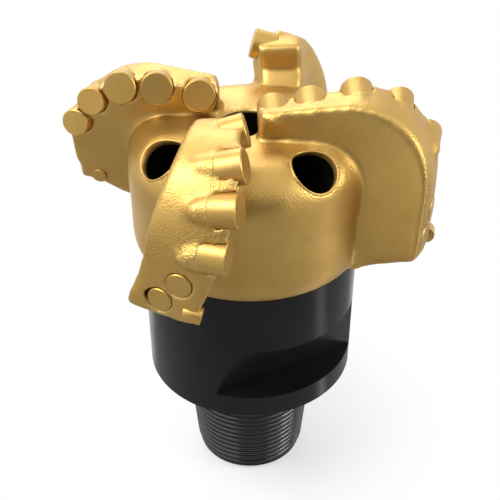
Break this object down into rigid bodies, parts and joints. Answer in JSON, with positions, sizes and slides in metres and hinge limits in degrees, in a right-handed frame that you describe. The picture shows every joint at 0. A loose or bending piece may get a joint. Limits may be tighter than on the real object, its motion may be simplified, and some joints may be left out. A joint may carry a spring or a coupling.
{
  "type": "pdc drill bit",
  "caption": "Fixed-cutter drill bit: a crown with swept blades, round cutters and slanted fluid ports on a shank with breaker slots and a tapered pin.",
  "frame": {"origin": "centre of the shank's shoulder face, on the bit's axis", "axes": "+Z along the bit's axis towards the cutting face; +X along the blade that reaches closest to the axis; blades at 0, 90, 180 and 270 degrees"},
  "size_m": [0.2175, 0.2266, 0.2775],
  "materials": {
    "gold_paint": "metallic gold paint, satin",
    "black_paint": "black paint, satin"
  },
  "bodies": {
    "root": {"bit_body": "gold_paint", "shank": "black_paint", "cutter_a1": "gold_paint", "cutter_a2": "gold_paint", "cutter_a3": "gold_paint", "cutter_a4": "gold_paint", "cutter_a5": "gold_paint", "cutter_b1": "gold_paint", "cutter_b2": "gold_paint", "cutter_b3": "gold_paint", "cutter_b4": "gold_paint", "cutter_c1": "gold_paint", "cutter_c2": "gold_paint", "cutter_c3": "gold_paint", "cutter_c4": "gold_paint", "cutter_c5": "gold_paint", "cutter_d1": "gold_paint", "cutter_d2": "gold_paint", "cutter_d3": "gold_paint", "cutter_d4": "gold_paint", "heel_cutter_a": "gold_paint", "heel_cutter_b": "gold_paint", "heel_cutter_c": "gold_paint", "heel_cutter_d": "gold_paint", "gauge_button_a1": "gold_paint", "gauge_button_a2": "gold_paint", "gauge_button_b1": "gold_paint", "gauge_button_b2": "gold_paint", "gauge_button_c1": "gold_paint", "gauge_button_c2": "gold_paint", "gauge_button_d1": "gold_paint", "gauge_button_d2": "gold_paint"}
  },
  "joints": []
}
